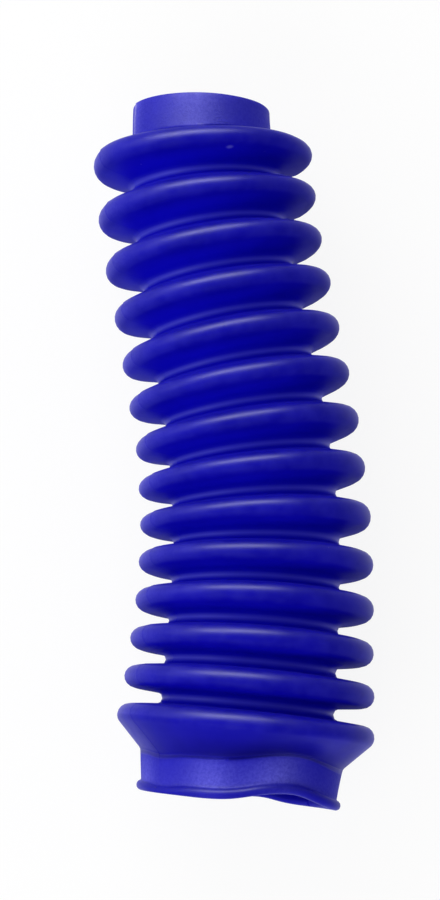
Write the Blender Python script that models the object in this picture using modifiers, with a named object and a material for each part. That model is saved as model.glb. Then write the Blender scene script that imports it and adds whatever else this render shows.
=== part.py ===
"""Bellows dust boot of a shock absorber: one soft moulding, lying on its side.

The boot is turned upright as one closed profile and then laid down along its bowed
centreline, where every crest presses a small flat on the floor. The small collar points
to +Y and the big one to -Y. +Z is up, and the origin lies on the floor under the middle.
A station is a distance along the centreline, measured from the small collar's end face.
"""

import math

import bpy
import numpy as np

MM = 0.001

# Wall and bores
WALL = 2.0 * MM
SMALL_BORE_RADIUS = 20.6 * MM
SHOULDER_BORE_RADIUS = 21.1 * MM
FIRST_ROOT_BORE_RADIUS = 22.3 * MM
LAST_ROOT_BORE_RADIUS = 25.8 * MM
CONE_BORE_RADIUS = 30.5 * MM
BIG_BORE_RADIUS = 29.4 * MM

# Bellows
FOLD_COUNT = 14
FIRST_PITCH = 16.2 * MM
LAST_PITCH = 12.7 * MM
FIRST_CREST_RADIUS = 36.3 * MM
LAST_CREST_RADIUS = 41.5 * MM
CREST_FLARE = 3.6
CREST_ROUNDING = 3.6 * MM
ROOT_ROUNDING = 1.0 * MM
LEAST_ROUNDING = 0.2 * MM

# Collars
SMALL_COLLAR_LENGTH = 11.7 * MM
SHOULDER_LENGTH = 5.95 * MM
CONE_LENGTH = 11.4 * MM
BIG_COLLAR_LENGTH = 12.2 * MM
EDGE_EASE = 0.5 * MM
BEAD_RADIUS = 1.65 * MM

# How the soft boot lies: its bow to the right, and the lean of its open end
SMALL_END_OFFSET = -6.1 * MM
BOW_OFFSET = 11.6 * MM
BIG_END_OFFSET = 5.6 * MM
BOW_SHARE = 0.64
SMALL_END_HEADING = math.radians(-1.6)
BIG_END_HEADING = math.radians(-6.0)
END_LEAN = math.radians(-7.6)
LEAN_LENGTH = 63.0 * MM
FLOOR_PRESS = 0.6 * MM

# The dent in the big collar, pushed inwards and up the boot, with its place round the rim
DENT_DEPTH = 3.0 * MM
DENT_LIFT = 3.6 * MM
DENT_ANGLE = math.radians(53.0)
DENT_SPREAD = math.radians(24.0)
DENT_FADE = 14.0 * MM

# Fineness of the mesh: an odd half puts a whole facet under each crest, and the facets
# touch the true round from outside, so that a bore is as wide across as its size says
FACETS_AROUND = 30
FACET_REACH = 1 / math.cos(math.pi / FACETS_AROUND)
AXIS_STEPS = 400
CREST_SHARES = (-1.0, -0.6, -0.2, 0.2, 0.6, 1.0)
PAIR_SHARES = (-0.5, 0.5)
BEAD_ANGLES = [math.radians(angle) for angle in (-45, 0, 45, 90, 135, 180)]


def clear_scene():
    for obj in list(bpy.data.objects):
        bpy.data.objects.remove(obj)


def blue_rubber():
    material = bpy.data.materials.new("blue_rubber")
    material.use_nodes = True
    shader = material.node_tree.nodes["Principled BSDF"]
    shader.inputs["Base Color"].default_value = (0.012, 0.009, 0.42, 1.0)
    shader.inputs["Roughness"].default_value = 0.42
    shader.inputs["Metallic"].default_value = 0.0
    return material


def crest_stations():
    """One station a fold, with a pitch that closes up evenly towards the big end."""
    stations = [SMALL_COLLAR_LENGTH + SHOULDER_LENGTH]
    gaps = FOLD_COUNT - 1
    for gap in range(gaps):
        share = gap / max(gaps - 1, 1)
        stations.append(stations[-1] + FIRST_PITCH + (LAST_PITCH - FIRST_PITCH) * share)
    return stations


CRESTS = crest_stations()
CONE_END = CRESTS[-1] + CONE_LENGTH
LENGTH = CONE_END + BIG_COLLAR_LENGTH


def crest_radius(station):
    """Crests stay alike at first and then grow, by a power of the way along the folds."""
    share = np.maximum(station - CRESTS[0], 0.0) / max(CRESTS[-1] - CRESTS[0], FIRST_PITCH)
    return FIRST_CREST_RADIUS + (LAST_CREST_RADIUS - FIRST_CREST_RADIUS) * share**CREST_FLARE


def valleys():
    """(station, bore radius) of each place between crests, a collar's root at each end."""
    roots = [(SMALL_COLLAR_LENGTH, SHOULDER_BORE_RADIUS)]
    for before, after in zip(CRESTS, CRESTS[1:]):
        station = (before + after) / 2
        share = (station - CRESTS[0]) / (CRESTS[-1] - CRESTS[0])
        widening = (LAST_ROOT_BORE_RADIUS - FIRST_ROOT_BORE_RADIUS) * share
        roots.append((station, FIRST_ROOT_BORE_RADIUS + widening))
    roots.append((CONE_END, CONE_BORE_RADIUS))
    return roots


def flank_reach(run, rise, roundings):
    """Angle that a rounding turns through, from the radius to the straight flank.

    The flank is the inner tangent of two circles whose centres lie run and rise apart.
    """
    lean = math.atan2(run, rise) - math.asin(roundings / math.hypot(run, rise))
    return math.pi / 2 - lean


def rounding_points(station, radius, rounding, reaches, shares):
    """Points on a circle through (station, radius): a crest, or a valley if rounding is negative."""
    points = []
    for share in shares:
        angle = share * (reaches[0] if share < 0 else reaches[1])
        sideways = abs(rounding) * math.sin(angle)
        points.append((station + sideways, radius - rounding * (1 - math.cos(angle))))
    return points


def bellows_skin(depth, crest_shares):
    """(station, radius) points of the bellows, depth below its outer surface."""
    crest_rounding = max(CREST_ROUNDING - depth, LEAST_ROUNDING)
    valley_rounding = ROOT_ROUNDING + depth
    lows = [(station, bore + WALL - depth) for station, bore in valleys()]
    highs = [(station, float(crest_radius(station)) - depth) for station in CRESTS]

    def reach(high, low):
        rise = (high[1] - crest_rounding) - (low[1] + valley_rounding)
        return flank_reach(abs(high[0] - low[0]), rise, crest_rounding + valley_rounding)

    up = [reach(high, low) for high, low in zip(highs, lows)]
    down = [reach(high, low) for high, low in zip(highs, lows[1:])]
    points = []
    for index, low in enumerate(lows):
        reaches = (down[index - 1] if index else 0.0, up[index] if index < len(up) else 0.0)
        points += rounding_points(*low, -valley_rounding, reaches, PAIR_SHARES)
        if index < len(highs):
            reaches = (up[index], down[index])
            points += rounding_points(*highs[index], crest_rounding, reaches, crest_shares)
    return points


def bead_points():
    """The rolled rim: a round bead flush with the bore, standing out of the collar."""
    centre_station = LENGTH - BEAD_RADIUS
    centre_radius = BIG_BORE_RADIUS + BEAD_RADIUS
    points = [(LENGTH - 2 * BEAD_RADIUS, BIG_BORE_RADIUS + WALL)]
    for angle in BEAD_ANGLES:
        station = centre_station + BEAD_RADIUS * math.sin(angle)
        points.append((station, centre_radius + BEAD_RADIUS * math.cos(angle)))
    return points


def wall_section():
    """The closed section of the wall: down the outer side, round the bead, up the bore."""
    face_radius = SMALL_BORE_RADIUS + WALL
    section = [(0.0, face_radius - EDGE_EASE), (EDGE_EASE, face_radius)]
    section += bellows_skin(0.0, CREST_SHARES)
    section += bead_points()
    section += reversed(bellows_skin(WALL, PAIR_SHARES))
    section.append((0.0, SMALL_BORE_RADIUS))
    return section


def turn(name, section):
    """An upright object: the section turned about Z, with its small end at the top."""
    points = [(radius * FACET_REACH, 0.0, LENGTH - station) for station, radius in section]
    edges = [(index, (index + 1) % len(points)) for index in range(len(points))]
    mesh = bpy.data.meshes.new(name)
    mesh.from_pydata(points, edges, [])
    boot = bpy.data.objects.new(name, mesh)
    screw = boot.modifiers.new("turn", "SCREW")
    screw.axis = "Z"
    screw.steps = FACETS_AROUND
    screw.render_steps = FACETS_AROUND
    screw.use_merge_vertices = True
    screw.merge_threshold = 0.00001
    return boot


def apply_modifiers(boot):
    evaluated = boot.evaluated_get(bpy.context.evaluated_depsgraph_get())
    mesh = bpy.data.meshes.new_from_object(evaluated)
    boot.modifiers.clear()
    boot.data = mesh
    mesh.name = boot.name


def bow(station):
    """Sideways place of the centreline: two cubics, level where they meet at the furthest bow."""
    peak = BOW_SHARE * LENGTH
    near = np.clip(station / peak, 0.0, 1.0)
    far = np.clip((station - peak) / (LENGTH - peak), 0.0, 1.0)
    rise = BOW_OFFSET - SMALL_END_OFFSET
    fall = BIG_END_OFFSET - BOW_OFFSET
    start = math.tan(SMALL_END_HEADING) * peak
    end = math.tan(BIG_END_HEADING) * (LENGTH - peak)
    offset = SMALL_END_OFFSET + rise * near**2 * (3 - 2 * near) + start * near * (1 - near) ** 2
    return offset + fall * far**2 * (3 - 2 * far) - end * far**2 * (1 - far)


def lay_down(mesh):
    """Carries each ring of points to its place on the centreline, square to its direction."""
    upright = np.empty(len(mesh.vertices) * 3)
    mesh.vertices.foreach_get("co", upright)
    across, below, height = upright.reshape(-1, 3).T
    station, across, above = dent_collar(LENGTH - height, across, -below)

    steps = np.linspace(0.0, LENGTH, AXIS_STEPS)
    sideways = bow(steps)
    axis_height = crest_radius(steps) - FLOOR_PRESS
    heading = np.gradient(sideways, steps)
    climb = np.gradient(axis_height, steps)
    forward = np.sqrt(1 - heading**2 - climb**2)
    run = np.concatenate([[0.0], np.cumsum((forward[1:] + forward[:-1]) / 2 * np.diff(steps))])

    centre = np.stack([np.interp(station, steps, line) for line in (sideways, -run, axis_height)])
    turn_angle = np.interp(station, steps, np.arctan2(heading, forward))
    leaning = np.clip((station - LENGTH + LEAN_LENGTH) / LEAN_LENGTH, 0.0, 1.0)
    lean = np.interp(station, steps, np.arcsin(climb)) + END_LEAN * leaning
    zero = np.zeros_like(station)
    right = np.stack([np.cos(turn_angle), np.sin(turn_angle), zero])
    up = np.stack([-np.sin(turn_angle) * np.sin(lean), np.cos(turn_angle) * np.sin(lean), np.cos(lean)])

    placed = (centre + across * right + above * up).T
    middle = (placed.min(axis=0) + placed.max(axis=0)) / 2
    placed[:, :2] -= middle[:2]
    placed[:, 2] = np.maximum(placed[:, 2], 0.0)
    mesh.vertices.foreach_set("co", placed.ravel())
    mesh.update()


def dent_collar(station, across, above):
    """Pushes the big collar in and up the boot on one side, fading in from the last crest."""
    radius = np.hypot(across, above)
    angle = np.arctan2(above, across)
    share = np.clip((station - CRESTS[-1]) / DENT_FADE, 0.0, 1.0)
    strength = share**2 * (3 - 2 * share)
    away = np.angle(np.exp(1j * (angle - DENT_ANGLE)))
    dent = strength * np.exp(-((away / DENT_SPREAD) ** 2))
    radius = radius - DENT_DEPTH * dent
    return station - DENT_LIFT * dent, radius * np.cos(angle), radius * np.sin(angle)


def main():
    clear_scene()
    collection = bpy.data.collections.new("dust_boot_parts")
    bpy.context.scene.collection.children.link(collection)
    boot = turn("dust_boot", wall_section())
    collection.objects.link(boot)
    apply_modifiers(boot)
    lay_down(boot.data)
    boot.data.materials.clear()
    boot.data.materials.append(blue_rubber())
    boot.data.shade_smooth()
    boot.data.set_sharp_from_angle(angle=math.radians(60.0))


main()
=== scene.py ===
"""Looks of the bellows dust boot: blue moulded rubber on a pale floor, seen from almost overhead.

The boot is one surface of two parameters. One goes round the boot, and the other follows the
closed section of its wall: from the small collar's edge down the outer side, round the bead
at the mouth and back up the bore. The surface is shaped upright and then laid down along its
bowed centreline. A station is a distance along the centreline from the small collar's face,
and an angle is 0 on the boot's right (+X) and 90 degrees on its top. Sizes are in metres.
"""

import math

import bpy
import mathutils
import numpy as np
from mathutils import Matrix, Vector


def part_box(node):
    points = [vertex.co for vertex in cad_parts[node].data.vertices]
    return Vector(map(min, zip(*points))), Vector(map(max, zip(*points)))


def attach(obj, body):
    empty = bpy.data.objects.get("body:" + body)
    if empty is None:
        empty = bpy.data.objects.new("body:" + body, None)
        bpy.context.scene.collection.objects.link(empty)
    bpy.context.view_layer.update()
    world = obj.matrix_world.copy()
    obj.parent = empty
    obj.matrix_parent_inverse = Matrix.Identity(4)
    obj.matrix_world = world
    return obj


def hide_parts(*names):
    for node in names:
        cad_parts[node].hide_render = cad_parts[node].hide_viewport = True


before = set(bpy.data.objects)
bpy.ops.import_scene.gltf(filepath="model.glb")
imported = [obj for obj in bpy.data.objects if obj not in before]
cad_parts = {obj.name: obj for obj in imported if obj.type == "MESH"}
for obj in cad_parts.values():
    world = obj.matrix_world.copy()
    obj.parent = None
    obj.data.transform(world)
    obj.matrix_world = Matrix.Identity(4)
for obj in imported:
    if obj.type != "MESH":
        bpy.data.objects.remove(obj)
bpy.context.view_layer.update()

NODE = "dust_boot"
MM = 0.001

# Wall and bores
WALL = 2.0 * MM
SMALL_BORE_RADIUS = 20.6 * MM
SHOULDER_BORE_RADIUS = 21.1 * MM
FIRST_ROOT_BORE_RADIUS = 22.3 * MM
LAST_ROOT_BORE_RADIUS = 25.8 * MM
CONE_BORE_RADIUS = 30.5 * MM
BIG_BORE_RADIUS = 29.4 * MM

# Bellows
FOLD_COUNT = 14
FIRST_PITCH = 16.2 * MM
LAST_PITCH = 12.7 * MM
FIRST_CREST_RADIUS = 36.3 * MM
LAST_CREST_RADIUS = 41.5 * MM
CREST_FLARE = 3.6
CREST_ROUNDING = 3.6 * MM
ROOT_ROUNDING = 2.0 * MM
LEAST_ROUNDING = 0.2 * MM

# Collars
SMALL_COLLAR_LENGTH = 11.7 * MM
SHOULDER_LENGTH = 5.95 * MM
CONE_LENGTH = 11.4 * MM
BIG_COLLAR_LENGTH = 12.2 * MM
OUTER_EDGE_EASE = 0.6 * MM
BORE_EDGE_EASE = 0.35 * MM
BEAD_RADIUS = 1.65 * MM
BEAD_FOOT = 2.15 * BEAD_RADIUS
BEAD_FIRST_ANGLE = math.radians(-72.0)

# How the soft boot lies: its bow to the right, and the lean of its open end
SMALL_END_OFFSET = -6.1 * MM
BOW_OFFSET = 11.6 * MM
BIG_END_OFFSET = 5.6 * MM
BOW_SHARE = 0.64
SMALL_END_HEADING = math.radians(-1.6)
BIG_END_HEADING = math.radians(-6.0)
END_LEAN = math.radians(-7.6)
LEAN_LENGTH = 63.0 * MM
FLOOR_PRESS = 0.6 * MM

# The dent in the big collar, pushed inwards and up the boot, with its place round the rim
DENT_DEPTH = 3.0 * MM
DENT_LIFT = 3.6 * MM
DENT_ANGLE = math.radians(53.0)
DENT_SPREAD = math.radians(24.0)
DENT_FADE = 14.0 * MM

# Shallow creases that the dent leaves in the big collar: each one's angle, spread and depth
CREASES = (
    (math.radians(90.0), math.radians(8.0), 0.45 * MM),
    (math.radians(112.0), math.radians(15.0), -0.55 * MM),
    (math.radians(68.0), math.radians(9.0), -0.5 * MM),
)
CREASE_FADE = 0.6 * CONE_LENGTH

# How unevenly the big rim stands: each stretch's angle, spread and lift up the boot
RIM_LIFTS = (
    (math.radians(77.0), math.radians(17.0), 1.5 * MM),
    (math.radians(140.0), math.radians(14.0), -1.1 * MM),
    (math.radians(284.0), math.radians(14.0), 1.25 * MM),
)

# Painted sheen on the collars, pale where the lamps would gleam: a plain share, patches with an angle,
# spread and strength, and how strong it is on the big collar at the cone and at the bead
PLAIN_SHEEN = 0.17
SMALL_COLLAR_SHEEN = (
    (math.radians(94.0), math.radians(15.0), 0.42),
    (math.radians(160.0), math.radians(11.0), 0.45),
)
BIG_COLLAR_SHEEN = (
    (math.radians(106.0), math.radians(12.0), 0.50),
    (math.radians(68.0), math.radians(16.0), 0.66),
    (math.radians(160.0), math.radians(11.0), 0.42),
)
BIG_SHEEN_SHARES = (0.5, 1.2)

# Over what length the big collar's finish and painted sheen fade in, and how little of them the bead
# has and of the flash the collar has
BIG_COLLAR_FADE = 3.0 * MM
BEAD_CUT = 0.85
FLASH_CLEAN = 0.8

# Fainter painted sheen on the left tips of the folds, towards the window: its angle, spread and
# strength, the share of the way up a fold at which it starts, and its rise from there
TIP_ANGLE = math.radians(172.0)
TIP_SPREAD = math.radians(30.0)
TIP_SHEEN = 0.32
TIP_START = 0.3
TIP_RISE = 0.5

# A painted highlight along each groove, a pale line in place of a glint: half its width, where round
# the boot it is palest, how far that spreads, and the share of it that is left elsewhere
GLINT_WIDTH = 0.75 * MM
GLINT_ANGLE = math.radians(130.0)
GLINT_SPREAD = math.radians(45.0)
LEAST_GLINT = 0.55

# Painted shadow on the cone: where round the boot it is darkest, how far that spreads, and the least of
# it
SHADOW_ANGLE = math.radians(80.0)
SHADOW_SPREAD = math.radians(50.0)
LEAST_SHADOW = 0.2

# Pale specks on the skin: each one's place, and half its size each way
SPECKS = (
    ((-0.71 * MM, 94.11 * MM, 67.27 * MM), (1.7 * MM, 0.9 * MM, 1.5 * MM)),
    ((10.91 * MM, 94.44 * MM, 59.98 * MM), (1.2 * MM, 0.45 * MM, 0.7 * MM)),
    ((-29.37 * MM, 90.59 * MM, 58.26 * MM), (0.5 * MM, 0.5 * MM, 0.6 * MM)),
    ((30.08 * MM, -33.63 * MM, 66.89 * MM), (0.45 * MM, 0.45 * MM, 0.5 * MM)),
)
SPECK_CORE = 0.2

# The mould's parting line on both sides of the boot. The lower half stands a little lower, a
# thin flash is raised along the line, and the line twists along the boot
PARTING_ANGLES = (math.radians(154.0), math.radians(334.0))
PARTING_TWISTS = (math.radians(5.0), math.radians(2.0), math.radians(-3.0), math.radians(-12.0))
MOULD_STEP = 0.45 * MM
FLASH_HEIGHT = 0.08 * MM
FLASH_WIDTH = 0.30 * MM
WEAR_WIDTH = 0.80 * MM

# Unevenness of a soft moulding: waves round the boot, waves along it, phase and height
WAVES = (
    (2, 1.5, 0.7, 0.16 * MM),
    (3, 5.3, 2.9, 0.12 * MM),
    (5, 7.1, 4.4, 0.07 * MM),
    (8, 11.6, 1.3, 0.03 * MM),
)

# Fineness of the surface, with finer steps across a parting line, in widths of its flash
STEPS_AROUND = 216
FLASH_STEPS = (-1.6, -1.0, -0.65, -0.3, 0.0, 0.3, 0.65, 1.0, 1.6)
FLASH_MARGIN = 1.3
CREST_STEPS = 9
VALLEY_STEPS = 5
FLANK_STEPS = 2
COLLAR_STEPS = 8
BEAD_STEPS = 14
EDGE_STEPS = 4
BORE_CREST_STEPS = 3
BORE_VALLEY_STEPS = 3
BORE_FLANK_STEPS = 1
BORE_END_STEPS = 2
AXIS_STEPS = 800

# Values at the surface's points, which the rubber's material reads
MARKS = ("flash", "crest", "root", "glint", "lee", "collar", "painted_sheen", "cone", "shadow", "wear")


def smooth(share):
    """A smooth step: three squares less two cubes of the share, held between 0 and 1."""
    share = np.clip(share, 0.0, 1.0)
    return share**2 * (3 - 2 * share)


def bump_at(distance, spread):
    """A bell: e to the power of minus the square of distance over spread."""
    return np.exp(-((distance / spread) ** 2))


def angle_from(angle, centre):
    """The angle between a direction and a centre, the short way round."""
    return np.angle(np.exp(1j * (angle - centre)))


def bells(angle, places):
    """A sum of bells round the boot: each one's height times a bell about its angle."""
    return sum(height * bump_at(angle_from(angle, centre), spread) for centre, spread, height in places)


# One station a fold, with a pitch that closes up evenly towards the big end
PITCHES = np.linspace(FIRST_PITCH, LAST_PITCH, FOLD_COUNT - 1)
CRESTS = SMALL_COLLAR_LENGTH + SHOULDER_LENGTH + np.concatenate([[0.0], np.cumsum(PITCHES)])
CONE_END = CRESTS[-1] + CONE_LENGTH
LENGTH = CONE_END + BIG_COLLAR_LENGTH
BEAD_START = LENGTH - 2 * BEAD_RADIUS
TWIST_STATIONS = (SMALL_COLLAR_LENGTH, CRESTS[0], CRESTS[-1], CONE_END)

# The place between each pair of crests, with a collar's root at each end
MIDDLES = (CRESTS[1:] + CRESTS[:-1]) / 2
MIDDLE_SHARES = (MIDDLES - CRESTS[0]) / (CRESTS[-1] - CRESTS[0])
ROOT_BORE_GROWTH = LAST_ROOT_BORE_RADIUS - FIRST_ROOT_BORE_RADIUS
ROOT_BORES = FIRST_ROOT_BORE_RADIUS + ROOT_BORE_GROWTH * MIDDLE_SHARES
VALLEYS = np.concatenate([[SMALL_COLLAR_LENGTH], MIDDLES, [CONE_END]])
VALLEY_BORES = np.concatenate([[SHOULDER_BORE_RADIUS], ROOT_BORES, [CONE_BORE_RADIUS]])


def crest_radius(station):
    """Crests stay alike at first and then grow, by a power of the way along the folds."""
    share = np.maximum(station - CRESTS[0], 0.0) / (CRESTS[-1] - CRESTS[0])
    return FIRST_CREST_RADIUS + (LAST_CREST_RADIUS - FIRST_CREST_RADIUS) * share**CREST_FLARE


def flank_reach(run, rise, both):
    """Angle that a rounding turns through before the straight flank.

    The flank is the inner tangent of two circles whose centres lie run and rise apart: its
    lean is the slope between the centres less the arc sine of both radii over their distance.
    """
    lean = np.arctan2(run, rise) - np.arcsin(both / np.hypot(run, rise))
    return np.pi / 2 - lean


def roundings(stations, radii, rounding, before, after, steps):
    """Arcs through (station, radius): crests, or valleys where rounding is negative.

    Along each arc the angle runs from minus before to plus after. The station moves by the
    sine of it times the rounding, and the radius drops by one less its cosine times the same.
    """
    share = np.linspace(-1.0, 1.0, steps)
    angle = np.where(share < 0, share * before[:, None], share * after[:, None])
    along = stations[:, None] + abs(rounding) * np.sin(angle)
    out = radii[:, None] - rounding * (1 - np.cos(angle))
    return np.stack([along, out], axis=-1)


def between(start, end, steps):
    """Points inside the straight line from start to end, evenly spaced, the ends left out."""
    share = (np.arange(steps) + 1) / (steps + 1)
    return start[..., None, :] + share[:, None] * (end - start)[..., None, :]


def bellows_skin(depth, crest_steps, valley_steps, flank_steps):
    """The bellows, depth below its outer surface: valley arc, flank, crest arc, flank, and again."""
    crest_rounding = max(CREST_ROUNDING - depth, LEAST_ROUNDING)
    valley_rounding = ROOT_ROUNDING + depth
    lows = VALLEY_BORES + WALL - depth
    highs = crest_radius(CRESTS) - depth
    both = crest_rounding + valley_rounding
    centres = highs - crest_rounding - valley_rounding
    up = flank_reach(CRESTS - VALLEYS[:-1], centres - lows[:-1], both)
    down = flank_reach(VALLEYS[1:] - CRESTS, centres - lows[1:], both)
    crests = roundings(CRESTS, highs, crest_rounding, up, down, crest_steps)
    into = np.concatenate([[0.0], down])
    out_of = np.concatenate([up, [0.0]])
    valleys = roundings(VALLEYS, lows, -valley_rounding, into, out_of, valley_steps)
    rising = between(valleys[:-1, -1], crests[:, 0], flank_steps)
    falling = between(crests[:, -1], valleys[1:, 0], flank_steps)
    folds = np.concatenate([valleys[:-1], rising, crests, falling], axis=1)
    return np.concatenate([folds.reshape(-1, 2), valleys[-1]])


def quarter_round(station, radius, ease, start):
    """A quarter circle of radius ease about a centre, its angle growing from the start.

    The station is the centre's less ease times the cosine, and the radius the centre's plus
    ease times the sine.
    """
    angle = start + np.linspace(0.0, np.pi / 2, EDGE_STEPS)
    return np.stack([station - ease * np.cos(angle), radius + ease * np.sin(angle)], axis=-1)


def bead():
    """The rolled rim: an arc about a centre a bead radius inside the end and outside the bore."""
    angle = np.linspace(BEAD_FIRST_ANGLE, np.pi, BEAD_STEPS)
    station = LENGTH - BEAD_RADIUS + BEAD_RADIUS * np.sin(angle)
    return np.stack([station, BIG_BORE_RADIUS + BEAD_RADIUS + BEAD_RADIUS * np.cos(angle)], axis=-1)


def wall_section():
    """The closed section, and for each of its points 1 on the outer side and 0 in the bore."""
    outer_radius = SMALL_BORE_RADIUS + WALL - OUTER_EDGE_EASE
    edge = quarter_round(OUTER_EDGE_EASE, outer_radius, OUTER_EDGE_EASE, 0.0)
    skin = bellows_skin(0.0, CREST_STEPS, VALLEY_STEPS, FLANK_STEPS)
    small_collar = between(edge[-1], skin[0], COLLAR_STEPS)
    collar_foot = np.array([[LENGTH - BEAD_FOOT, BIG_BORE_RADIUS + WALL]])
    big_collar = between(skin[-1], collar_foot[0], COLLAR_STEPS)
    rim = bead()
    outer = np.concatenate([edge, small_collar, skin, big_collar, collar_foot, rim])
    bore = bellows_skin(WALL, BORE_CREST_STEPS, BORE_VALLEY_STEPS, BORE_FLANK_STEPS)[::-1]
    mouth = between(rim[-1], bore[0], COLLAR_STEPS)
    inner_radius = SMALL_BORE_RADIUS + BORE_EDGE_EASE
    bore_edge = quarter_round(BORE_EDGE_EASE, inner_radius, BORE_EDGE_EASE, -np.pi / 2)
    bore_end = between(bore[-1], bore_edge[0], BORE_END_STEPS)
    inner = np.concatenate([mouth, bore, bore_end, bore_edge])
    side = np.concatenate([np.ones(len(outer)), np.zeros(len(inner))])
    return np.concatenate([outer, inner]), side


def angles_around():
    """Even steps round the boot, with finer ones across the two parting lines."""
    even = np.arange(STEPS_AROUND) * 2 * np.pi / STEPS_AROUND
    fine = np.array(FLASH_STEPS) * FLASH_WIDTH / FIRST_CREST_RADIUS
    near_lines = np.concatenate([line + fine for line in PARTING_ANGLES])
    away = np.min([abs(angle_from(even, line)) for line in PARTING_ANGLES], axis=0)
    kept = even[away > abs(fine).max() * FLASH_MARGIN]
    return np.sort(np.concatenate([kept, near_lines]) % (2 * np.pi))


def parting_line(angle, radius, width):
    """1 on the crown of a parting line, fading by a bell over the width."""
    away = np.min([abs(angle_from(angle, line)) for line in PARTING_ANGLES], axis=0)
    return bump_at(away * radius, width)


def lower_half(angle, radius):
    """1 on the floor's side of the parting lines, a half on them, and 0 above them.

    It is a smooth step of the distance inside the nearer line over twice a flash's width.
    """
    first, second = PARTING_ANGLES
    inside = np.minimum(angle_from(angle, first), -angle_from(angle, second))
    return smooth(inside * radius / (2 * FLASH_WIDTH) + 0.5)


def unevenness(station, angle):
    """A sum of cosines, each with its own waves round the boot, waves along it and phase."""
    along = 2 * np.pi * station / LENGTH
    return sum(
        height * np.cos(turns * angle + waves * along + phase)
        for turns, waves, phase, height in WAVES
    )


def rim_unevenness(station, angle):
    """How far the rim stands up the boot: bells round it, fading in over the cone."""
    return smooth((station - CRESTS[-1]) / DENT_FADE) * bells(angle, RIM_LIFTS)


def collar_creases(station, angle):
    """How far the big collar's wall dips: bells round the boot, fading in down the cone."""
    return smooth((station - CRESTS[-1] - CREASE_FADE) / CREASE_FADE) * bells(angle, CREASES)


def dented(station, angle):
    """1 in the middle of the collar's dent: a bell round the boot, fading in from the last crest."""
    strength = smooth((station - CRESTS[-1]) / DENT_FADE)
    return strength * bump_at(angle_from(angle, DENT_ANGLE), DENT_SPREAD)


def bow(station):
    """Sideways place of the centreline: two cubics, level where they meet at the furthest bow."""
    peak = BOW_SHARE * LENGTH
    near = np.clip(station / peak, 0.0, 1.0)
    far = np.clip((station - peak) / (LENGTH - peak), 0.0, 1.0)
    rise = BOW_OFFSET - SMALL_END_OFFSET
    fall = BIG_END_OFFSET - BOW_OFFSET
    start = math.tan(SMALL_END_HEADING) * peak
    end = math.tan(BIG_END_HEADING) * (LENGTH - peak)
    offset = SMALL_END_OFFSET + rise * near**2 * (3 - 2 * near) + start * near * (1 - near) ** 2
    return offset + fall * far**2 * (3 - 2 * far) - end * far**2 * (1 - far)


def laid_down(station, across, above):
    """Carries upright points to their place: centreline point plus across and above it.

    The centreline runs down the boot, offset sideways by the bow and lifted by the crest's
    radius, so that every crest meets the floor. Each ring stands square to it.
    """
    steps = np.linspace(0.0, LENGTH, AXIS_STEPS)
    sideways = bow(steps)
    axis_height = crest_radius(steps) - FLOOR_PRESS
    heading = np.gradient(sideways, steps)
    climb = np.gradient(axis_height, steps)
    forward = np.sqrt(1 - heading**2 - climb**2)
    run = np.concatenate([[0.0], np.cumsum((forward[1:] + forward[:-1]) / 2 * np.diff(steps))])
    centre = np.stack([np.interp(station, steps, line) for line in (sideways, -run, axis_height)])
    turn = np.interp(station, steps, np.arctan2(heading, forward))
    leaning = np.clip((station - LENGTH + LEAN_LENGTH) / LEAN_LENGTH, 0.0, 1.0)
    lean = np.interp(station, steps, np.arcsin(climb)) + END_LEAN * leaning
    right = np.stack([np.cos(turn), np.sin(turn), np.zeros_like(turn)])
    up = np.stack([-np.sin(turn) * np.sin(lean), np.cos(turn) * np.sin(lean), np.cos(lean)])
    return np.moveaxis(centre + across * right + above * up, 0, -1)


def inside_box(points, low, high):
    """Moves points to the middle of a box and presses them together where they stand out of it.

    Heights stay measured from the floor, and none lies below it.
    """
    points[..., 2] = np.maximum(points[..., 2], 0.0)
    least, most = points.min(axis=(0, 1)), points.max(axis=(0, 1))
    middle, box_middle = (least + most) / 2, (low + high) / 2
    scale = np.minimum((high - low) / (most - least), 1.0)
    placed = box_middle + (points - middle) * scale
    placed[..., 2] = points[..., 2] * min(high[2] / most[2], 1.0)
    return placed


def grid_mesh(name, points, marks):
    """A closed skin over a grid that joins up both ways, with named values at its points.

    Each face takes a point, the next one along the section, and the same two one step round.
    """
    rows, columns = points.shape[:2]
    index = np.arange(rows * columns).reshape(rows, columns)
    below = np.roll(index, -1, axis=0)
    corners = np.stack([index, below, np.roll(below, -1, axis=1), np.roll(index, -1, axis=1)], axis=-1)
    faces = rows * columns
    mesh = bpy.data.meshes.new(name)
    mesh.vertices.add(rows * columns)
    mesh.vertices.foreach_set("co", points.ravel())
    mesh.loops.add(corners.size)
    mesh.loops.foreach_set("vertex_index", corners.ravel())
    mesh.polygons.add(faces)
    mesh.polygons.foreach_set("loop_start", np.arange(faces) * corners.shape[-1])
    mesh.update(calc_edges=True)
    for mark, values in marks.items():
        mesh.attributes.new(mark, "FLOAT", "POINT").data.foreach_set("value", values.ravel())
    mesh.shade_smooth()
    return mesh


def fold_share(station):
    """1 on the folds and 0 on the collars and the cone, with steps of a millimetre."""
    return smooth((station - SMALL_COLLAR_LENGTH) / MM) * (1 - smooth((station - CRESTS[-1]) / MM))


def cone_share(station):
    """Grows smoothly from 0 at the last crest down the cone, and is 0 again on the collar."""
    growing = smooth((station - CRESTS[-1]) / CONE_LENGTH)
    return growing * (1 - smooth((station - CONE_END + MM) / (2 * MM)))


def small_collar_share(station):
    """1 on the small collar and 0 beyond it, with a step of a millimetre."""
    return 1 - smooth((station - SMALL_COLLAR_LENGTH + MM) / MM)


def big_collar_share(station):
    """1 on the big collar, with a smooth step from the cone, and less on its bead."""
    on_bead = smooth((station - BEAD_START + MM / 2) / MM)
    return smooth((station - CONE_END + MM) / BIG_COLLAR_FADE) * (1 - BEAD_CUT * on_bead)


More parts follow.
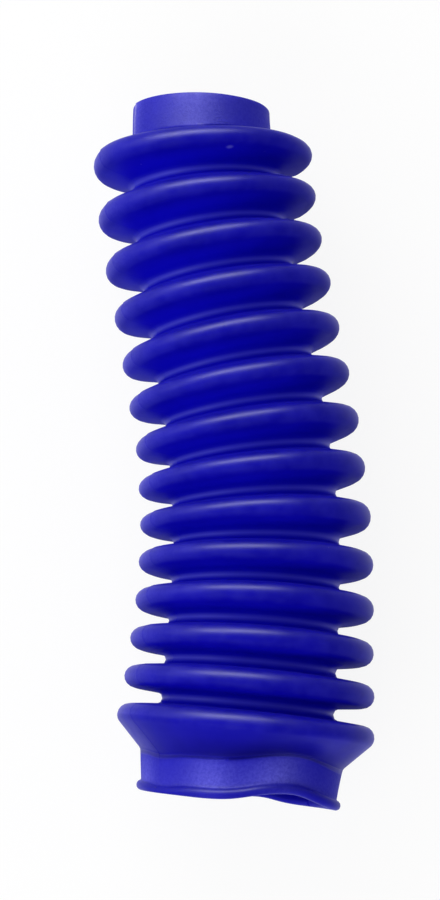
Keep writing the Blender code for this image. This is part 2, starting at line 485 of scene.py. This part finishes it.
def skin_marks(section, station, angle, radius, outer):
    """Values from about 0 to 1 that tell the material where on the boot a point lies.

    The crest is the share of the way from the grooves' floor to the crests. The lee is the side
    of a fold that faces down the boot, away from the window: a smooth step of the sine of the
    angle at which the section falls, where shade is painted. A glint is a bell about each
    groove's middle, where a highlight is painted, and a tip is high on a fold at the left, on
    the window's side, where a sheen is painted, as it is on the collars.
    """
    folds = fold_share(station) * outer
    cone = cone_share(station) * outer
    small = small_collar_share(station) * outer
    big = big_collar_share(station) * outer
    low = np.interp(station, VALLEYS, VALLEY_BORES + WALL)
    crest = np.clip((radius - low) / (crest_radius(station) - low), 0.0, 1.0) * outer
    root = (1 - smooth(crest)) * folds
    along, out = np.gradient(section, axis=0).T
    lee = smooth(np.sin(np.arctan2(-out, along)))[:, None] * folds
    # Painted highlight: a pale line along the bottom of each groove
    to_valley = np.min([abs(station - valley) for valley in VALLEYS[1:-1]], axis=0)
    palest = bump_at(angle_from(angle, GLINT_ANGLE), GLINT_SPREAD)
    glint = bump_at(to_valley, GLINT_WIDTH) * root * (LEAST_GLINT + (1 - LEAST_GLINT) * palest)
    # Painted shadow on the cone, darkest on the top side and towards its foot
    darkest = bump_at(angle_from(angle, SHADOW_ANGLE), SHADOW_SPREAD)
    shadow = cone**2 * (LEAST_SHADOW + (1 - LEAST_SHADOW) * darkest)
    at_left = bump_at(angle_from(angle, TIP_ANGLE), TIP_SPREAD)
    tip = smooth((crest - TIP_START) / TIP_RISE) * folds * (1 - lee) * at_left
    # Painted sheen: paler on the collars and on the folds' left tips, where the lamps would gleam
    towards_bead = np.interp(station, (CONE_END, BEAD_START), BIG_SHEEN_SHARES)
    small_sheen = small * (PLAIN_SHEEN + bells(angle, SMALL_COLLAR_SHEEN))
    big_sheen = big * towards_bead * (PLAIN_SHEEN + bells(angle, BIG_COLLAR_SHEEN))
    painted_sheen = small_sheen + big_sheen + TIP_SHEEN * tip
    return {
        "crest": crest,
        "root": root,
        "glint": glint,
        "lee": lee,
        "collar": small + big,
        "painted_sheen": painted_sheen,
        "cone": cone,
        "shadow": shadow,
    }


def boot_surface():
    """The whole boot: the wall's section at every angle, dented, creased, flashed and laid down.

    The columns of the grid follow the parting lines, and the true angle is a column's angle
    plus the lines' twist at its station.
    """
    section, side = wall_section()
    column, station = np.meshgrid(angles_around(), section[:, 0])
    radius = np.repeat(section[:, 1:], column.shape[1], axis=1)
    outer = np.repeat(side[:, None], column.shape[1], axis=1)
    angle = column + np.interp(station, TWIST_STATIONS, PARTING_TWISTS)
    flash = parting_line(column, radius, FLASH_WIDTH) * outer
    wear = parting_line(column, radius, WEAR_WIDTH) * outer
    lower = lower_half(column, radius) * outer
    marks = skin_marks(section, station, angle, radius, outer)
    marks["flash"] = flash * (1 - FLASH_CLEAN * big_collar_share(station))
    marks["wear"] = wear * small_collar_share(station)

    dent = dented(station, angle)
    rim_lift = rim_unevenness(station, angle)
    radius = radius - DENT_DEPTH * dent - collar_creases(station, angle)
    radius = radius + unevenness(station, angle) + FLASH_HEIGHT * flash
    radius = radius + MOULD_STEP * (outer / 2 - lower)
    station = station - DENT_LIFT * dent - rim_lift
    points = laid_down(station, radius * np.cos(angle), radius * np.sin(angle))
    low_corner, high_corner = (np.array(corner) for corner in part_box(NODE))
    return grid_mesh("boot", inside_box(points, low_corner, high_corner), marks)


class Shade:
    """A socket of a material's tree, whose operators add Math nodes."""

    def __init__(self, tree, socket=None):
        self.tree = tree
        self.socket = socket

    def node(self, kind, settings=(), inputs=(), output=0):
        """Adds a node: its settings first, then the value or link of each socket."""
        node = self.tree.nodes.new("ShaderNode" + kind)
        for name, value in dict(settings).items():
            setattr(node, name, value)
        for name, value in dict(inputs).items():
            if isinstance(value, Shade):
                self.tree.links.new(value.socket, node.inputs[name])
            else:
                node.inputs[name].default_value = value
        return Shade(self.tree, node.outputs[output] if node.outputs else None)

    def maths(self, operation, *terms):
        """A Math node's result from values or sockets."""
        return self.node("Math", {"operation": operation}, enumerate(terms))

    def __add__(self, other):
        return self.maths("ADD", self, other)

    __radd__ = __add__

    def __rsub__(self, other):
        return self.maths("SUBTRACT", other, self)

    def __mul__(self, other):
        return self.maths("MULTIPLY", self, other)

    def between(self, low, high):
        """0 below low and 1 above high, with a smooth step from one to the other."""
        inputs = {"Value": self, "From Min": low, "From Max": high}
        return self.node("MapRange", {"interpolation_type": "SMOOTHSTEP"}, inputs)

    def mark(self, name):
        """A named value of the mesh's points."""
        return self.node("Attribute", {"attribute_name": name}, output="Fac")

    def noise(self, place, size, detail=2.0, roughness=0.5):
        """Noise whose blotches are about size across."""
        inputs = {"Vector": place, "Scale": 1 / size, "Detail": detail, "Roughness": roughness}
        return self.node("TexNoise", (), inputs)

    def mixed(self, factor, first, second):
        """The first colour where the factor is 0, and the second where it is 1."""
        return self.node("Mix", {"data_type": "RGBA"}, {0: factor, 6: first, 7: second}, output=2)


def empty_tree(owner):
    """Gives a material or a world an empty tree of nodes, and wraps it."""
    owner.use_nodes = True
    owner.node_tree.nodes.clear()
    return Shade(owner.node_tree)


def speck(shade, place, centre, size):
    """1 in the core of a small ellipsoid, fading to 0 at its edge. The size is half its widths."""
    mapping = {"Location": centre, "Scale": size}
    local = shade.node("Mapping", {"vector_type": "TEXTURE"}, {"Vector": place, **mapping})
    distance = shade.node("VectorMath", {"operation": "LENGTH"}, {0: local}, output="Value")
    return 1 - distance.between(SPECK_CORE, 1.0)


# Colours of the rubber and of what lies on it, and of the light and shade painted on it
DEEP_BLUE = (0.0030, 0.0014, 0.39, 1.0)
LIGHTER_BLUE = (0.0045, 0.0025, 0.45, 1.0)
PAINTED_LIGHT_BLUE = (0.0060, 0.0030, 0.74, 1.0)
SHADED_BLUE = (0.0010, 0.0002, 0.13, 1.0)
SEAM_SHADE_BLUE = (0.002, 0.001, 0.10, 1.0)
CHALK_AND_SHEEN_BLUE = (0.13, 0.125, 0.82, 1.0)
PAINTED_GLINT_BLUE = (0.10, 0.10, 0.90, 1.0)
WORN_BLUE = (0.20, 0.19, 0.72, 1.0)
SCUFFED_BLUE = (0.42, 0.40, 0.86, 1.0)

# How much of each colour covers the place it belongs to
LEE_SHADE = 0.12
ROOT_PAINTED_LIGHT = 0.8
COLLAR_PAINTED_LIGHT = 0.22
GLINT_COVER = 0.85
CONE_SHADE = 0.85
CREST_CHALK = 0.05
CREST_LINE = 0.15
SPECK_COVER = 0.35

# The skin's gloss, and how far the lee of a fold is matt
SATIN_ROUGHNESS = 0.38
GLOSS_LEVEL = 0.08
LEE_MATTNESS = 0.7

# Sizes of the blotches in the skin, and the height of its relief
CLOUD_SIZE = 14.0 * MM
PATCH_SIZE = 5.0 * MM
DASH_SIZE = 1.6 * MM
PIT_SIZE = 0.9 * MM
GRAIN_SIZE = 0.45 * MM
RELIEF_HEIGHT = 0.12 * MM
RELIEF_STRENGTH = 0.35


def rubber_surface(shade, colour, bump, roughness, gloss):
    """A surface of one colour, relief and roughness, with a level of gloss."""
    inputs = {"Base Color": colour, "Normal": bump, "Roughness": roughness, "Specular IOR Level": gloss}
    return shade.node("BsdfPrincipled", (), inputs)


def blue_rubber():
    """Satin blue rubber with a fine grain, pitted on its collars and matt in the lee of folds.

    Its colour is laid on in turns: clouds of two blues, painted shade in the lee, painted light
    in the grooves and on the collars, a painted highlight along each groove, the cone's painted
    shadow, chalk and painted sheen, the parting line with painted shade on the cone, and the specks.
    """
    material = bpy.data.materials.new("blue_rubber")
    shade = empty_tree(material)
    place = shade.node("TexCoord", output="Object")
    flash, crest, root, glint, lee, collar, painted_sheen, cone, shadow, wear = map(shade.mark, MARKS)
    cloud = shade.noise(place, CLOUD_SIZE, 3.0)
    grain = shade.noise(place, GRAIN_SIZE, 2.0, 0.6)
    pits = shade.noise(place, PIT_SIZE, 3.0, 0.65)
    patches = shade.noise(place, PATCH_SIZE)
    dashes = shade.noise(place, DASH_SIZE).between(0.42, 0.58)

    colour = shade.mixed(cloud.between(0.35, 0.65), DEEP_BLUE, LIGHTER_BLUE)
    # Painted shade: the side of each fold that faces away from the window is darkened
    colour = shade.mixed(lee * LEE_SHADE, colour, SHADED_BLUE)
    # Painted light: the grooves lighter, in place of light bounced between the folds, and the collars
    # lighter, in place of the lamps' sheen
    colour = shade.mixed(root * ROOT_PAINTED_LIGHT + collar * COLLAR_PAINTED_LIGHT, colour, PAINTED_LIGHT_BLUE)
    # Painted highlight: a pale line along the bottom of each groove
    colour = shade.mixed(glint * GLINT_COVER, colour, PAINTED_GLINT_BLUE)
    # Painted shadow: the cone darkened towards its foot
    colour = shade.mixed(shadow * CONE_SHADE, colour, SHADED_BLUE)
    # Chalk on the crests, and painted sheen on the collars and the folds' left tips where the lamps
    # would gleam
    crest_chalk = crest.between(0.75, 1.0) * patches.between(0.3, 0.7) * CREST_CHALK
    chalk_and_sheen = crest_chalk + painted_sheen * (pits.between(0.3, 0.7) * 0.5 + 0.75)
    colour = shade.mixed(chalk_and_sheen, colour, CHALK_AND_SHEEN_BLUE)
    line = flash.between(0.3, 0.9) * dashes
    # Painted shade: the parting line darkened along the cone
    colour = shade.mixed(line * cone.between(0.0, 0.3), colour, SEAM_SHADE_BLUE)
    colour = shade.mixed(line * crest.between(0.8, 1.0) * CREST_LINE, colour, WORN_BLUE)
    colour = shade.mixed(wear * (dashes * 0.45 + 0.4), colour, SCUFFED_BLUE)
    specks = sum(speck(shade, place, *values) for values in SPECKS)
    colour = shade.mixed(specks * SPECK_COVER, colour, WORN_BLUE)

    roughness = patches.between(0.25, 0.75) * 0.06 + SATIN_ROUGHNESS + collar * 0.14 + flash * 0.1
    pitted = collar * patches.between(0.35, 0.65)
    height = grain * 0.35 + pits.between(0.35, 0.6) * pitted
    relief = {"Strength": RELIEF_STRENGTH, "Distance": RELIEF_HEIGHT, "Height": height}
    bump = shade.node("Bump", (), relief)
    satin = rubber_surface(shade, colour, bump, roughness, GLOSS_LEVEL)
    matt = rubber_surface(shade, colour, bump, 1.0, 0.0)
    surface = shade.node("MixShader", (), {0: lee * LEE_MATTNESS, 1: satin, 2: matt})
    shade.node("OutputMaterial", (), {"Surface": surface})
    return material


def seen_rays(shade):
    """1 for what the camera, a mirror or glass sees, 0 for the light that falls on things."""
    camera, glossy, through = (
        shade.node("LightPath", output=ray)
        for ray in ("Is Camera Ray", "Is Glossy Ray", "Is Transmission Ray")
    )
    return shade.maths("MAXIMUM", shade.maths("MAXIMUM", camera, glossy), through)


WHITE = (1.0, 1.0, 1.0, 1.0)
PAPER = (0.86, 0.86, 0.87, 1.0)
PAPER_SHADE = (0.13, 0.13, 0.13, 1.0)
PAPER_GLOW = 0.89
FLOOR_SIZE = 3.0
AMBIENT = 0.35


def floor_paper():
    """White paper that is seen brighter than it lights, and keeps a faint shadow."""
    material = bpy.data.materials.new("floor_paper")
    shade = empty_tree(material)
    paper = shade.node("BsdfDiffuse", (), {"Color": PAPER})
    keeps_shadow = shade.node("BsdfDiffuse", (), {"Color": PAPER_SHADE})
    glow = shade.node("Emission", (), {"Color": WHITE, "Strength": PAPER_GLOW})
    shown = shade.node("AddShader", (), {0: keeps_shadow, 1: glow})
    surface = shade.node("MixShader", (), {0: seen_rays(shade), 1: paper, 2: shown})
    shade.node("OutputMaterial", (), {"Surface": surface})
    return material


# Softboxes: place, size and power, and whether they light surfaces and show in gloss
SOFTBOXES = {
    "window": ((-0.16, 0.70, 0.64), (1.05, 0.42), 54.0, False, True),
    "side_window": ((-0.95, 0.25, 0.60), (0.80, 0.80), 7.0, False, True),
    "key_light": ((-0.30, 0.70, 0.62), (0.80, 0.60), 3.6, True, False),
    "side_light": ((-0.95, 0.10, 0.45), (0.80, 0.80), 1.2, True, False),
    "fill_light": ((-0.35, -0.75, 0.75), (0.90, 0.60), 4.5, True, False),
}

# The photograph's view: how far the camera tilts from overhead, and the scale at the boot
CAMERA_TILT = math.radians(7.3)
CAMERA_DISTANCE = 0.75
CAMERA_AIM = (-3.9 * MM, 0.8 * MM, 36.1 * MM)
PIXEL_SIZE = 0.327 * MM
PICTURE_HEIGHT = 900
SENSOR = 36.0


def pale_world():
    """A plain pale light on all things, seen as white."""
    world = bpy.data.worlds.new("studio")
    shade = empty_tree(world)
    ambient = shade.node("Background", (), {"Color": WHITE, "Strength": AMBIENT})
    white = shade.node("Background", (), {"Color": WHITE, "Strength": 1.0})
    backdrop = shade.node("MixShader", (), {0: seen_rays(shade), 1: ambient, 2: white})
    shade.node("OutputWorld", (), {"Surface": backdrop})
    bpy.context.scene.world = world


def add_floor():
    """A square sheet of paper with its middle under the boot."""
    half = FLOOR_SIZE / 2
    corners = [(-half, -half, 0), (half, -half, 0), (half, half, 0), (-half, half, 0)]
    mesh = bpy.data.meshes.new("floor")
    mesh.from_pydata(corners, [], [(0, 1, 2, 3)])
    mesh.materials.append(floor_paper())
    floor = bpy.data.objects.new("floor", mesh)
    bpy.context.scene.collection.objects.link(floor)


def add_softbox(name, place, size, power, lights_surfaces, shows_in_gloss):
    """A flat lamp, size wide and deep, that faces the middle of the floor."""
    lamp = bpy.data.lights.new(name, "AREA")
    lamp.shape = "RECTANGLE"
    lamp.size, lamp.size_y = size
    lamp.energy = power
    softbox = bpy.data.objects.new(name, lamp)
    softbox.location = place
    softbox.rotation_euler = mathutils.Vector(place).to_track_quat("Z", "Y").to_euler()
    softbox.visible_diffuse = lights_surfaces
    softbox.visible_glossy = shows_in_gloss
    bpy.context.scene.collection.objects.link(softbox)


def add_camera():
    """Almost overhead, tilted towards the small end, at the distance that gives the scale."""
    data = bpy.data.cameras.new("camera")
    data.sensor_width = SENSOR
    data.lens = CAMERA_DISTANCE / PIXEL_SIZE / PICTURE_HEIGHT * SENSOR
    camera = bpy.data.objects.new("camera", data)
    aim_x, aim_y, aim_z = CAMERA_AIM
    camera.location = (
        aim_x,
        aim_y - CAMERA_DISTANCE * math.sin(CAMERA_TILT),
        aim_z + CAMERA_DISTANCE * math.cos(CAMERA_TILT),
    )
    camera.rotation_euler = (CAMERA_TILT, 0.0, 0.0)
    bpy.context.scene.collection.objects.link(camera)
    bpy.context.scene.camera = camera


bpy.context.scene.view_settings.view_transform = "Standard"
add_camera()
pale_world()
add_floor()
for name, values in SOFTBOXES.items():
    add_softbox(name, *values)

boot = bpy.data.objects.new("boot", boot_surface())
boot.data.materials.append(blue_rubber())
bpy.context.scene.collection.objects.link(boot)
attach(boot, "root")
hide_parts(NODE)

bpy.context.view_layer.update()
